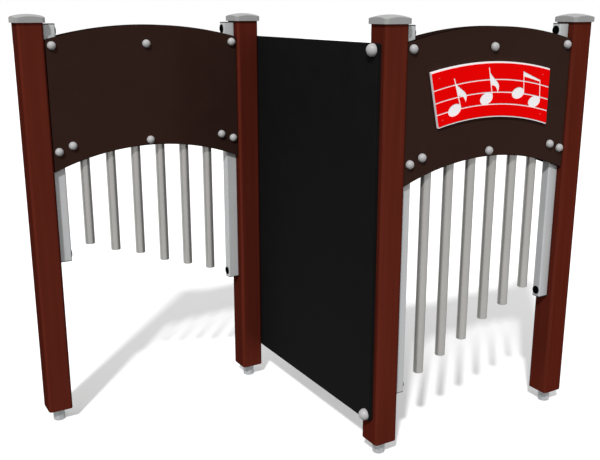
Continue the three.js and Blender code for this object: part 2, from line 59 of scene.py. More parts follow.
# Posts, caps and feet
POST_ARRIS = 12.5 * MM
POST_END_EDGE = 2.5 * MM
CAP_CORNER = 16 * MM
CAP_SIDE_HEIGHT = 25 * MM  # in the middle of a side
CAP_CROWN = 7.5 * MM
CAP_WALL = 3.7 * MM
CAP_EDGE = 2.2 * MM
CAP_EDGE_TURN = 0.85  # of a quarter turn, where the rounded edge meets the crown
CAP_LIP = 0.9 * MM
CAP_FIT = 0.4 * MM
CAP_SHARP = 50  # degrees
PIPE_RADIUS = 24.15 * MM
PIPE_WALL = 3.2 * MM
PIPE_EDGE = 1.2 * MM
PIPE_ROUNDING = 0.3 * PIPE_EDGE
FOOT_BOTTOM = 5 * MM
SEAT_PLATE_HALF = 30 * MM
SEAT_PLATE_THICKNESS = 6 * MM
SEAT_PLATE_CORNER = 5 * MM
SEAT_PLATE_EDGE = 0.8 * MM
WELD_RADIUS = 2.2 * MM
WELD_OFFSET = 0.4 * WELD_RADIUS  # from the pipe's wall to the middle of the bead

# Rails, their plugs and bolts
RAIL_WALL = 3 * MM
RAIL_CORNER = 6 * MM
RAIL_LEAST_CORNER = 1 * MM
RAIL_EDGE = 0.4 * MM
RAIL_HALF_WIDTH = 25 * MM
RAIL_HALF_DEPTH = 20 * MM
RAIL_PLUG = 3.4 * MM
RAIL_PLUG_INSERT = 14 * MM
PLUG_GAP = 0.25 * MM
PLUG_TAPER = 1.2 * MM
PLUG_TAPER_LENGTH = 1.5 * MM
PLUG_OVERHANG = 0.2 * MM
PLUG_LIP = 0.4 * MM
PLUG_EDGE = ((-0.2, 1), (0.1, 0.4), (0.9, 0))  # insets, and depths under its top, in mm
RAIL_BOLT_TOP = 27.5 * MM  # below the rail's upper end
RAIL_BOLT_BOTTOM = 29 * MM  # above its lower end
RAIL_BOLT_HEAD = 17.5 * MM
RAIL_BOLT_HEIGHT = 3 * MM
RAIL_BOLT_LIP = 0.5 * MM
RAIL_BOLT_CROWN = 1.4 * MM  # height of the rounded edge, which is twice as wide
RAIL_BOLT_SHANK = 6 * MM
RAIL_BOLT_EMBED = 55 * MM
SHANK_CHAMFER = 1 * MM

# Boards and their bolts
BOARD_TOP_RADIUS = 1575 * MM
BOARD_BOTTOM_RADIUS = 1055 * MM
BOARD_MID_HEIGHT = 488.5 * MM
BOARD_EDGE = 2 * MM
BOARD_CORNER = 3 * MM
BOARD_FACING = 0.9  # a face that looks along y less than this is a cut edge
POCKET_DEPTH = 6 * MM
POCKET_MARGIN = 6 * MM
POCKET_ABOVE_TUBE = 22 * MM
POCKET_CORNER = 10 * MM
PANEL_BOLTS = 8
BOLT_RADIUS = 5 * MM
BOLT_HOLE = 5.5 * MM
DOME_RADIUS = 16.5 * MM
DOME_HEIGHT = 18 * MM
DOME_RIM = 4 * MM
DOME_LIP = 0.5 * MM

# Bell tubes and what carries them
TUBES = 6
TUBE_RADIUS = 20 * MM
TUBE_WALL = 3 * MM
TUBE_CHAMFER = 0.8 * MM
ROD_RADIUS = 5 * MM
ROD_HOLE = 5.12 * MM
COLLAR_RADIUS = 9 * MM
COLLAR_GAP = 0.5 * MM
COLLAR_EDGE = 0.8 * MM
LUG_HALF = 15 * MM
BEAM_ABOVE_TUBE = 10 * MM
BEAM_HEIGHT = 25 * MM
HANGER_CORNER = 2.5 * MM
HANGER_EDGE = 1.2 * MM

# Partition
PARTITION_HALF = 9 * MM
PARTITION_CORNER = 8 * MM
PARTITION_EDGE = 2 * MM
PARTITION_BOLTS = 2
PARTITION_DOME = 23 * MM
PARTITION_DOME_HEIGHT = 26 * MM
PARTITION_DOME_RIM = 4 * MM
PARTITION_SHANK = 6 * MM
PARTITION_EMBED = 60 * MM

# Sign
SIGN_HALF = 296 * MM
SIGN_MIDDLE = -9 * MM  # in the bay
SIGN_LEFT = SIGN_MIDDLE - SIGN_HALF
SIGN_RIGHT = SIGN_MIDDLE + SIGN_HALF
SIGN_LEAN = 45 * MM
SIGN_APEX = SIGN_MIDDLE - 13 * MM
SIGN_BELOW_TOP = 128.2 * MM
SIGN_HEIGHT = 207.5 * MM
SIGN_TOP_RADIUS = 1330 * MM
SIGN_BOTTOM_RADIUS = 1050 * MM
SIGN_THICKNESS = 12 * MM
SIGN_TOP_BORDER = 5.3 * MM  # along the upper arch
SIGN_BOTTOM_BORDER = 4 * MM  # along the lower arch
SIGN_FACE = 1.6 * MM  # thickness of the red layer
SIGN_CORNER = 1.5 * MM
SIGN_EDGE = 0.6 * MM
SIGN_SHARP = 25  # degrees
FACE_EDGE = 0.25 * MM
STAFF_RADIUS = 1150 * MM
STAFF_LINE = 5 * MM
STAFF_SHARES = (0.319, 0.548, 0.764)
HEAD_LENGTH = 65 * MM
HEAD_HEIGHT = 44 * MM
HEAD_TILT = 0.05
STEM = 5.4 * MM
FLAG_STEM = 113 * MM
BEAM_STEM = 80 * MM
BEAM_THICKNESS = 19 * MM  # at its left end
BEAM_TAPER = 12 * MM
FLAG_REACH = 44 * MM
FLAG_DROP = 106 * MM
NOTE_SHARES = (-0.606, -0.091, 0.45, 0.748)
NOTE_LINES = (2, 1.5, 1, 1.5)
NOTE_TURNS = (19, 12, 4, 4)  # degrees
SCREW_HEAD = 4 * MM
SCREW_HEIGHT = 1.5 * MM
SCREW_RIM = 0.6 * MM
SCREW_RADIUS = 2.5 * MM
SCREW_EMBED = 12 * MM
SCREW_POINT = 2 * MM
SCREW_INSET_X = 38 * MM
SCREW_INSET_Z = 31 * MM

# Fineness
ROUND = 32
FINE = 48
ARC = 64
SIGN_ARC = 36
CORNER = 6
REAL_CORNER = math.radians(25)  # a smaller turn belongs to an arc
CAP_SIDE = 10  # points between two corners of a cap
CAP_HOOD_RINGS = 5
CAP_LIP_RINGS = 3
CAP_EDGE_RINGS = 5
CAP_CROWN_RINGS = 9
WELD_SIDES = 8
RAIL_BOLT_RINGS = 6
FLAG_STEPS = 14
MEETING_ROUNDS = 8

# Stage, light and camera
FLOOR_HALF = 40
FLOOR_GLOW = 0.16
FLOOR_WHITE = 0.75
FLOOR_BOUNCE = 0.1
SKY = 0.75
SUN_TOWARDS = (-0.475, -0.53, 0.70)
SUN_STRENGTH = 3.4
SUN_ANGLE = math.radians(4)
CAMERA_PLACE = (-1.7067, -2.8724, 1.7104)
CAMERA_TILT = math.radians(75)
CAMERA_TURN = math.radians(-30.17)
CAMERA_LENS = 49.75
CAMERA_SENSOR = 36

UPRIGHT = Matrix.Rotation(QUARTER, 4, "X")  # (u, v, height) to (x, z, outwards to -Y)


# Shapes

def rounded_rectangle(half_x, half_y, radius, between=0):
    """A counter-clockwise outline, with extra points between the corners where they are asked for."""
    signs = ((1, 1), (-1, 1), (-1, -1), (1, -1))

    def corner_point(i, k):
        side_x, side_y = signs[i % 4]
        angle = QUARTER * (i + k / CORNER)
        return (side_x * (half_x - radius) + radius * math.cos(angle),
                side_y * (half_y - radius) + radius * math.sin(angle))

    points = []
    for i in range(4):
        points += [corner_point(i, k) for k in range(CORNER + 1)]
        start, end = Vector(points[-1]), Vector(corner_point(i + 1, 0))
        points += [tuple(start.lerp(end, k / (between + 1))) for k in range(1, between + 1)]
    return points


def circle(radius, sides=ROUND):
    return [(radius * math.cos(TAU * i / sides), radius * math.sin(TAU * i / sides))
            for i in range(sides)]


def arch_height(centre_x, apex, radius, x):
    return apex - radius + math.sqrt(radius ** 2 - (x - centre_x) ** 2)


def arch(centre_x, apex, radius, start_x, end_x, steps=ARC):
    places = [start_x + (end_x - start_x) * i / steps for i in range(steps + 1)]
    return [(x, arch_height(centre_x, apex, radius, x)) for x in places]


def inset(points, distance):
    """A counter-clockwise outline moved inwards."""
    moved = []
    for i, point in enumerate(points):
        here = Vector(point)
        before = (here - Vector(points[i - 1])).normalized()
        after = (Vector(points[(i + 1) % len(points)]) - here).normalized()
        first = Vector((-before.y, before.x))
        second = Vector((-after.y, after.x))
        moved.append(tuple(here + (first + second) * distance / (1 + first.dot(second))))
    return moved


def soften(points, radius, steps=CORNER):
    """Rounds the outline's real corners, and leaves the small turns of its arcs alone."""
    made = []
    for i, point in enumerate(points):
        here = Vector(point)
        before = (Vector(points[i - 1]) - here).normalized()
        after = (Vector(points[(i + 1) % len(points)]) - here).normalized()
        turn = math.pi - before.angle(after)
        if turn < REAL_CORNER:
            made.append(point)
            continue
        reach = radius * math.tan(turn / 2)
        start, end = here + before * reach, here + after * reach
        for k in range(steps + 1):
            t = k / steps
            made.append(tuple(start * (1 - t) ** 2 + here * 2 * t * (1 - t) + end * t ** 2))
    return made


def edge_profile(thickness, edge, steps=3):
    """Insets and heights of a plate with rounded edges."""
    low = []
    for i in range(steps + 1):
        angle = QUARTER * i / steps
        low.append((edge * (1 - math.sin(angle)), edge * (1 - math.cos(angle))))
    return low + [(d, thickness - h) for d, h in reversed(low)]


def loft(bm, rings, loop=False):
    """Joins rings of points with faces. A ring of one point is a pole."""
    made = [[bm.verts.new(point) for point in ring] for ring in rings]
    pairs = list(zip(made, made[1:]))
    if loop:
        pairs.append((made[-1], made[0]))
    for low, high in pairs:
        count = max(len(low), len(high))
        for i in range(count):
            j = (i + 1) % count
            if len(low) == 1:
                bm.faces.new((low[0], high[j], high[i]))
            elif len(high) == 1:
                bm.faces.new((low[i], low[j], high[0]))
            else:
                bm.faces.new((low[i], low[j], high[j], high[i]))
    if not loop:
        for end in (made[0], made[-1]):
            if len(end) > 1:
                bm.faces.new(end)


def swept(bm, outline, profile, place=Matrix(), loop=False):
    """outline(inset) gives the points of each ring, and the profile gives insets and heights."""
    rings = [[place @ Vector((u, v, height)) for u, v in outline(distance)]
             for distance, height in profile]
    loft(bm, rings, loop)


def turned(bm, profile, place=Matrix(), sides=ROUND, loop=False):
    """A lathe shape from radii and heights. A radius of 0 is a point on the axis."""
    rings = []
    for radius, height in profile:
        ring = circle(radius, sides) if radius else [(0, 0)]
        rings.append([place @ Vector((x, y, height)) for x, y in ring])
    loft(bm, rings, loop)


def prism(bm, points, low, high, place=Matrix()):
    swept(bm, lambda _: points, [(0, low), (0, high)], place)


def rod(bm, radius, start, end, sides=ROUND):
    """A plain round cutter between two points."""
    start, end = Vector(start), Vector(end)
    place = Matrix.Translation(start) @ (end - start).to_track_quat("Z", "Y").to_matrix().to_4x4()
    turned(bm, [(radius, 0), (radius, (end - start).length)], place, sides)


def shell():
    return bmesh.new()


def object_of(bm, name):
    bmesh.ops.recalc_face_normals(bm, faces=bm.faces)
    mesh = bpy.data.meshes.new(name)
    bm.to_mesh(mesh)
    bm.free()
    made = bpy.data.objects.new(name, mesh)
    bpy.context.scene.collection.objects.link(made)
    return made


def carve(bm, cutters):
    """Cuts closed shells out of a closed shell, one after the other."""
    body = object_of(bm, "uncut")
    tools = [object_of(cutter, "cutter") for cutter in cutters]
    for tool in tools:
        modifier = body.modifiers.new("cut", "BOOLEAN")
        modifier.operation = "DIFFERENCE"
        modifier.solver = "EXACT"
        modifier.object = tool
    bpy.context.view_layer.update()
    graph = bpy.context.evaluated_depsgraph_get()
    result = bpy.data.meshes.new_from_object(body.evaluated_get(graph))
    made = bmesh.new()
    made.from_mesh(result)
    bmesh.ops.remove_doubles(made, verts=made.verts, dist=SAME_POINT)
    bpy.data.meshes.remove(result)
    for used in [body, *tools]:
        mesh = used.data
        bpy.data.objects.remove(used)
        bpy.data.meshes.remove(mesh)
    return made


def piece(name, bm, material, nodes=(), place=Matrix(), body="frame", sharp=35):
    """A finished piece of the object: smooth but for its real edges, and riding on a body."""
    bm.transform(place)
    made = object_of(bm, name)
    made.data.materials.append(material)
    made.data.shade_smooth()
    made.data.set_sharp_from_angle(angle=math.radians(sharp))
    weighted = made.modifiers.new("even shading", "WEIGHTED_NORMAL")
    weighted.keep_sharp = True
    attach(made, body)
    if nodes:
        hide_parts(*nodes)
    return made


# Materials

def colour(red, green, blue):
    """A colour from its display values, 0 to 255."""
    def linear(value):
        share = value / 255
        return share / 12.92 if share <= 0.04045 else ((share + 0.055) / 1.055) ** 2.4
    return (linear(red), linear(green), linear(blue), 1)


def scaled(base, factor):
    return tuple(min(1, channel * factor) for channel in base[:3]) + (1,)


def grey(value):
    return (value,) * 3 + (1,)


# Metallic paint without this tint would turn white where it is seen edge on.
NO_EDGE_GLARE = grey(0)

# The colour sockets of a Mix node, whose names it gives to other sockets too
MIX_FACTOR, MIX_FIRST, MIX_SECOND, MIX_RESULT = 0, 6, 7, 2
NOISE_ROUGHNESS = 0.55


class Finish:
    """A node material on object coordinates, so that its detail keeps its size in metres."""

    def __init__(self, name, metallic, specular=0.5, tint=grey(1)):
        self.material = bpy.data.materials.new(name)
        self.material.use_nodes = True
        self.tree = self.material.node_tree
        self.tree.nodes.clear()
        self.shader = self.tree.nodes.new("ShaderNodeBsdfPrincipled")
        output = self.tree.nodes.new("ShaderNodeOutputMaterial")
        self.link(self.shader.outputs["BSDF"], output.inputs["Surface"])
        self.place = self.tree.nodes.new("ShaderNodeTexCoord").outputs["Object"]
        self.shader.inputs["Metallic"].default_value = metallic
        self.shader.inputs["Specular IOR Level"].default_value = specular
        self.shader.inputs["Specular Tint"].default_value = tint
        self.normal = None

    def link(self, start, end):
        self.tree.links.new(start, end)

    def noise(self, cycles, detail=3):
        """Noise with its own number of cycles in a metre along each axis."""
        mapping = self.tree.nodes.new("ShaderNodeMapping")
        mapping.inputs["Scale"].default_value = cycles
        self.link(self.place, mapping.inputs["Vector"])
        made = self.tree.nodes.new("ShaderNodeTexNoise")
        made.inputs["Scale"].default_value = 1
        made.inputs["Detail"].default_value = detail
        made.inputs["Roughness"].default_value = NOISE_ROUGHNESS
        self.link(mapping.outputs["Vector"], made.inputs["Vector"])
        return made.outputs["Fac"]

    def cells(self, cycles, output="Distance"):
        made = self.tree.nodes.new("ShaderNodeTexVoronoi")
        made.inputs["Scale"].default_value = cycles
        self.link(self.place, made.inputs["Vector"])
        return made.outputs[output]

    def ramp(self, factor, low, high, start=0.3, end=0.7):
        made = self.tree.nodes.new("ShaderNodeValToRGB")
        made.color_ramp.elements[0].position = start
        made.color_ramp.elements[0].color = low
        made.color_ramp.elements[1].position = end
        made.color_ramp.elements[1].color = high
        self.link(factor, made.inputs["Fac"])
        return made.outputs["Color"]

    def paint(self, tone, shade):
        """The surface's colour is the product of the two."""
        made = self.tree.nodes.new("ShaderNodeMix")
        made.data_type = "RGBA"
        made.blend_type = "MULTIPLY"
        made.inputs[MIX_FACTOR].default_value = 1
        self.link(tone, made.inputs[MIX_FIRST])
        self.link(shade, made.inputs[MIX_SECOND])
        self.link(made.outputs[MIX_RESULT], self.shader.inputs["Base Color"])

    def gloss(self, factor, low, high, start=0.3, end=0.7):
        """The roughness goes from low to high while the factor goes from start to end."""
        made = self.tree.nodes.new("ShaderNodeMapRange")
        made.inputs["From Min"].default_value = start
        made.inputs["From Max"].default_value = end
        made.inputs["To Min"].default_value = low
        made.inputs["To Max"].default_value = high
        self.link(factor, made.inputs["Value"])
        self.link(made.outputs["Result"], self.shader.inputs["Roughness"])

    def bump(self, height, strength, distance):
        made = self.tree.nodes.new("ShaderNodeBump")
        made.inputs["Strength"].default_value = strength
        made.inputs["Distance"].default_value = distance
        self.link(height, made.inputs["Height"])
        if self.normal is not None:
            self.link(self.normal, made.inputs["Normal"])
        self.normal = made.outputs["Normal"]
        self.link(self.normal, self.shader.inputs["Normal"])


def painted_timber():
    """Satin paint over laminated timber: long faint grain, and a slight orange peel."""
    base = colour(82, 31.5, 22)
    made = Finish("satin_post_paint", metallic=0.25, specular=0, tint=NO_EDGE_GLARE)
    grain = made.noise(cycles=(70, 70, 2.2), detail=5)
    blotches = made.noise(cycles=(5, 5, 1.5))
    peel = made.noise(cycles=(420, 420, 420), detail=2)
    made.paint(made.ramp(grain, scaled(base, 0.9), scaled(base, 1.1)),
               made.ramp(blotches, grey(0.93), grey(1)))
    made.gloss(blotches, low=0.18, high=0.26)
    made.bump(grain, strength=0.12, distance=0.4 * MM)
    made.bump(peel, strength=0.06, distance=0.2 * MM)
    return made.material


def moulded(name, base, roughness, grain, depth, specular, spread=0.06, metallic=0):
    """Moulded or sheet plastic: a fine pebbled skin, slight mottling and uneven gloss."""
    made = Finish(name, metallic, specular, NO_EDGE_GLARE if metallic else grey(1))
    mottle = made.noise(cycles=(9, 9, 9), detail=5)
    specks = made.noise(cycles=(grain * 0.7,) * 3)
    made.paint(made.ramp(mottle, scaled(base, 1 - spread), scaled(base, 1 + spread)),
               made.ramp(specks, grey(0.92), grey(1)))
    made.gloss(mottle, *roughness)
    made.bump(made.cells(grain), strength=depth, distance=0.25 * MM)
    return made.material


def brushed(name, base, metallic, roughness, along):
    """Brushed or drawn metal: fine lines along one axis and faint handling marks."""
    made = Finish(name, metallic)
    lines = made.noise(cycles=[5 if axis == along else 1100 for axis in "xyz"], detail=4)
    marks = made.noise(cycles=(14, 14, 5), detail=5)
    made.paint(made.ramp(lines, scaled(base, 0.9), scaled(base, 1.08)),
               made.ramp(marks, grey(0.93), grey(1)))
    made.gloss(marks, *roughness)
    made.bump(lines, strength=0.1, distance=0.05 * MM)
    return made.material


def galvanised():
    """Hot-dip zinc: grey crystals of different tone, and uneven gloss."""
    base = colour(176, 178, 179)
    crystals = 95  # in a metre
    made = Finish("galvanised_zinc", metallic=0.35)
    film = made.noise(cycles=(30, 30, 30), detail=5)
    made.paint(made.ramp(made.cells(crystals, "Color"), scaled(base, 0.8), scaled(base, 1.12), 0.1, 0.9),
               made.ramp(film, (0.86, 0.87, 0.88, 1), grey(1)))
    made.gloss(made.cells(crystals), low=0.38, high=0.6, start=0, end=0.7)
    made.bump(made.noise(cycles=(160, 160, 160)), strength=0.15, distance=0.2 * MM)
    return made.material


POST_PAINT = painted_timber()
CAP_PLASTIC = moulded("moulded_cap_grey", colour(144, 145, 144), roughness=(0.38, 0.5), grain=620,
                      depth=0.12, specular=0.08)
DOME_PLASTIC = moulded("moulded_dome_grey", colour(161, 160, 160), roughness=(0.38, 0.48), grain=900,
                       depth=0.05, specular=0.25)
BOARD_BROWN = moulded("sheet_brown", colour(46, 30, 25), roughness=(0.16, 0.24), grain=520,
                      depth=0.05, specular=0.03, metallic=0.2)
BOARD_CORE = moulded("sheet_core_black", colour(17, 12, 10), roughness=(0.6, 0.7), grain=620,
                     depth=0.1, specular=0, spread=0.1)
PARTITION_BLACK = moulded("sheet_black", colour(20, 20, 20), roughness=(0.6, 0.7), grain=520,
                          depth=0.16, specular=0.008, spread=0.1)
SIGN_RED = moulded("sheet_red", colour(226, 3, 3), roughness=(0.4, 0.5), grain=620,
                   depth=0.08, specular=0.004, spread=0.02)
SIGN_WHITE = moulded("sheet_white", colour(237, 235, 236), roughness=(0.4, 0.5), grain=620,
                     depth=0.08, specular=0.05, spread=0.02)
# Lighter and pinker than the sign's red: partly the screws' own red paint, partly a painted highlight
# standing in for the glint on their heads.
SCREW_PAINT_AND_HIGHLIGHT = moulded("painted_screw_and_highlight", colour(222, 44, 46), roughness=(0.35, 0.45), grain=900,
                      depth=0.05, specular=0.1, spread=0.02)
BOLT_BLACK = moulded("black_bolt_cap", colour(10, 10, 11), roughness=(0.45, 0.55), grain=700,
                     depth=0.12, specular=0, spread=0.15, metallic=0.7)
PLUG_BLACK = moulded("plug_black", colour(24, 25, 26), roughness=(0.5, 0.6), grain=500,
                     depth=0.15, specular=0.3, spread=0.12)
RAIL_METAL = brushed("drawn_rail_metal", colour(175, 176, 177), metallic=0.12, roughness=(0.34, 0.46),
                     along="z")
BELL_METAL = brushed("brushed_bell_metal", colour(156, 155, 152), metallic=0.45, roughness=(0.28, 0.4),
                     along="z")
ROD_METAL = brushed("ground_rod_metal", colour(170, 171, 172), metallic=0.7, roughness=(0.25, 0.35),
                    along="x")
ZINC = galvanised()


# Posts, caps and feet

def middle(box):
    return (box[0] + box[1]) / 2


def make_post(bay, end, side):
    name = f"{end}_{bay.letter}"
    box = bay.box(f"post_{name}")
    centre = middle(box)
    half = (box[1].x - box[0].x) / 2

    def outline(d):
        return rounded_rectangle(half - d, half - d, POST_ARRIS - d)

    body = shell()
    swept(body, outline, edge_profile(box[1].z - box[0].z, POST_END_EDGE, steps=4),
          Matrix.Translation((centre.x, centre.y, box[0].z)))
    holes = shell()
    foot_top = bay.box(f"post_foot_{name}")[1].z
    rod(holes, PIPE_RADIUS + SEAT_GAP, (centre.x, centre.y, box[0].z - OVERRUN),
        (centre.x, centre.y, foot_top + SEAT_GAP))
    inner_face = centre.x - side * half
    for z in bay.rail_bolts[end]:
        rod(holes, RAIL_BOLT_SHANK + SEAT_GAP, (inner_face - side * OVERRUN, centre.y, z),
            (inner_face + side * (RAIL_BOLT_EMBED + SEAT_GAP), centre.y, z))
    if end == "inner":
        for z in bay.partition_bolts:
            rod(holes, PARTITION_SHANK + SEAT_GAP, (centre.x - half - OVERRUN, centre.y, z),
                (centre.x - half + PARTITION_EMBED, centre.y, z))
    piece(f"painted_post_{name}", carve(body, [holes]), POST_PAINT, [f"post_{name}"],
          bay.place)


def make_cap(bay, end):
    """A hood whose four sides are arched by a shallow dome."""
    name = f"{end}_{bay.letter}"
    box = bay.box(f"post_cap_{name}")
    post = bay.box(f"post_{name}")
    half = (box[1].x - box[0].x) / 2
    hood_half = (post[1].x - post[0].x) / 2 + CAP_FIT
    hood_corner = POST_ARRIS + CAP_FIT
    sphere = (half ** 2 + CAP_CROWN ** 2) / (2 * CAP_CROWN)
    sphere_z = CAP_SIDE_HEIGHT + CAP_CROWN - sphere
    inside = sphere - CAP_WALL

    def on_dome(x, y, radius, drop=0):
        return Vector((x, y, sphere_z + math.sqrt(radius ** 2 - x ** 2 - y ** 2) - drop))

    def dome_ring(reach, corner, radius, share=1, drop=0):
        return [on_dome(x * share, y * share, radius, drop)
                for x, y in rounded_rectangle(reach, reach, corner, CAP_SIDE)]

    def level_ring(reach, corner, height):
        return [Vector((x, y, height)) for x, y in rounded_rectangle(reach, reach, corner, CAP_SIDE)]

    rings = [[on_dome(0, 0, inside)]]
    for i in range(CAP_HOOD_RINGS):
        rings.append(dome_ring(hood_half, hood_corner, inside, share=(i + 1) / CAP_HOOD_RINGS))
    rings.append(level_ring(hood_half, hood_corner, CAP_LIP))
    rings.append(level_ring(hood_half + CAP_LIP, hood_corner + CAP_LIP, 0))
    for i in range(CAP_LIP_RINGS + 1):
        angle = QUARTER * i / CAP_LIP_RINGS
        distance = CAP_LIP * (1 - math.sin(angle))
        rings.append(level_ring(half - distance, CAP_CORNER - distance, CAP_LIP * (1 - math.cos(angle))))
    for i in range(CAP_EDGE_RINGS + 1):
        angle = QUARTER * i / CAP_EDGE_RINGS * CAP_EDGE_TURN
        distance = CAP_EDGE * (1 - math.cos(angle))
        rings.append(dome_ring(half - distance, CAP_CORNER - distance, sphere,
                               drop=CAP_EDGE * (1 - math.sin(angle))))
    for i in range(CAP_CROWN_RINGS):
        rings.append(dome_ring(half - CAP_EDGE, CAP_CORNER - CAP_EDGE, sphere,
                               share=1 - i / CAP_CROWN_RINGS))
    rings.append([on_dome(0, 0, sphere)])
    centre = middle(box)
    at = Vector((centre.x, centre.y, box[0].z))
    body = shell()
    loft(body, [[at + point for point in ring] for ring in rings])
    piece(f"moulded_cap_{name}", body, CAP_PLASTIC, [f"post_cap_{name}"], bay.place,
          sharp=CAP_SHARP)


def make_foot(bay, end):
    """A pipe with a closed end, a seat plate under the post and the weld that joins them."""
    name = f"{end}_{bay.letter}"
    box = bay.box(f"post_foot_{name}")
    centre = middle(box)
    at = Matrix.Translation((centre.x, centre.y, 0))
    inner, top = PIPE_RADIUS - PIPE_WALL, box[1].z
    body = shell()
    turned(body, [(0, FOOT_BOTTOM), (inner, FOOT_BOTTOM), (inner, top - PIPE_EDGE),
                  (inner + PIPE_EDGE, top), (PIPE_RADIUS - PIPE_EDGE, top),
                  (PIPE_RADIUS, top - PIPE_EDGE), (PIPE_RADIUS, PIPE_EDGE),
                  (PIPE_RADIUS - PIPE_ROUNDING, PIPE_ROUNDING), (PIPE_RADIUS - PIPE_EDGE, 0), (0, 0)],
           at, FINE)

    def plate(d):
        return rounded_rectangle(SEAT_PLATE_HALF - d, SEAT_PLATE_HALF - d, SEAT_PLATE_CORNER - d)

    plate_low = bay.box(f"post_{name}")[0].z - SEAT_GAP - SEAT_PLATE_THICKNESS
    swept(body, plate, edge_profile(SEAT_PLATE_THICKNESS, SEAT_PLATE_EDGE),
          Matrix.Translation((centre.x, centre.y, plate_low)))
    bead = [(PIPE_RADIUS + WELD_OFFSET + u, plate_low + v) for u, v in circle(WELD_RADIUS, WELD_SIDES)]
    turned(body, bead, at, FINE, loop=True)
    piece(f"galvanised_foot_{name}", body, ZINC, [f"post_foot_{name}"], bay.place)


# Rails, their plugs and bolts

def rail_outline(d):
    return rounded_rectangle(RAIL_HALF_WIDTH - d, RAIL_HALF_DEPTH - d,
                             max(RAIL_CORNER - d, RAIL_LEAST_CORNER))


def make_rail(bay, end, side):
    name = f"{end}_{bay.letter}"
    low, high = bay.box(f"rail_{name}")
    x = side * bay.rail_x
    length = high.z - low.z - 2 * RAIL_PLUG
    wall = [(RAIL_EDGE, 0), (0, RAIL_EDGE), (0, length - RAIL_EDGE), (RAIL_EDGE, length),
            (RAIL_WALL - RAIL_EDGE, length), (RAIL_WALL, length - RAIL_EDGE),
            (RAIL_WALL, RAIL_EDGE), (RAIL_WALL - RAIL_EDGE, 0)]
    body = shell()
    swept(body, rail_outline, wall, Matrix.Translation((x, 0, low.z + RAIL_PLUG)), loop=True)
    holes = shell()
    for z in bay.rail_bolts[end]:
        rod(holes, RAIL_BOLT_SHANK + SEAT_GAP, (x - RAIL_HALF_WIDTH - OVERRUN, 0, z),
            (x + RAIL_HALF_WIDTH + OVERRUN, 0, z))
    across = shell()
    for bolt_x, z in bay.panel_bolts:
        if abs(bolt_x - x) < RAIL_HALF_WIDTH:
            rod(across, BOLT_HOLE, (x, -RAIL_HALF_DEPTH - OVERRUN, z), (x, RAIL_HALF_DEPTH + OVERRUN, z))
    piece(f"hollow_rail_{name}", carve(body, [holes, across]), RAIL_METAL,
          [f"rail_{name}"], bay.place)


def make_rail_plugs(bay, end, side):
    """Each plug's flange covers the rail's end, and the rest goes into the rail."""
    name = f"{end}_{bay.letter}"
    low, high = bay.box(f"rail_{name}")
    profile = [(RAIL_WALL + PLUG_TAPER, -RAIL_PLUG_INSERT),
               (RAIL_WALL + PLUG_GAP, -RAIL_PLUG_INSERT + PLUG_TAPER_LENGTH),
               (RAIL_WALL + PLUG_GAP, 0), (PLUG_OVERHANG, 0), (-PLUG_OVERHANG, PLUG_LIP)]
    profile += [(distance * MM, RAIL_PLUG - depth * MM) for distance, depth in PLUG_EDGE]
    for where, z, turn in (("top", high.z - RAIL_PLUG, 0), ("bottom", low.z + RAIL_PLUG, math.pi)):
        body = shell()
        swept(body, rail_outline, profile,
              Matrix.Translation((side * bay.rail_x, 0, z)) @ Matrix.Rotation(turn, 4, "X"))
        piece(f"rail_plug_{where}_{name}", body, PLUG_BLACK, place=bay.place)


def shank(radius, end, seat):
    """Radii and heights of a chamfered shank, from its end to the seat of its head."""
    return [(0, end), (radius - SHANK_CHAMFER, end), (radius, end + SHANK_CHAMFER), (radius, seat)]


def make_rail_bolts(bay, end, side):
    """A bolt under a flat round cap, whose shank goes through the rail into the post."""
    profile = shank(RAIL_BOLT_SHANK, -(2 * RAIL_HALF_WIDTH + RAIL_BOLT_EMBED), 0)
    profile += [(RAIL_BOLT_HEAD - RAIL_BOLT_LIP, 0), (RAIL_BOLT_HEAD, RAIL_BOLT_LIP)]
    for i in range(RAIL_BOLT_RINGS):
        angle = QUARTER * i / RAIL_BOLT_RINGS
        profile.append((RAIL_BOLT_HEAD - 2 * RAIL_BOLT_CROWN * (1 - math.cos(angle)),
                        RAIL_BOLT_HEIGHT - RAIL_BOLT_CROWN * (1 - math.sin(angle))))
    profile.append((0, RAIL_BOLT_HEIGHT))
    inner_face = side * (bay.rail_x - RAIL_HALF_WIDTH)
    for i, z in enumerate(bay.rail_bolts[end]):
        body = shell()
        turned(body, profile,
               Matrix.Translation((inner_face, 0, z)) @ Matrix.Rotation(-side * QUARTER, 4, "Y"), FINE)
        piece(f"rail_bolt_{i + 1}_{end}_{bay.letter}", body, BOLT_BLACK, place=bay.place)


# Boards and their bolts

def board_outline(bay):
    points = (arch(0, bay.board_bottom, BOARD_BOTTOM_RADIUS, -bay.board_half, bay.board_half)
              + arch(0, bay.board_top, BOARD_TOP_RADIUS, bay.board_half, -bay.board_half))
    return lambda d: soften(inset(points, d), BOARD_CORNER)


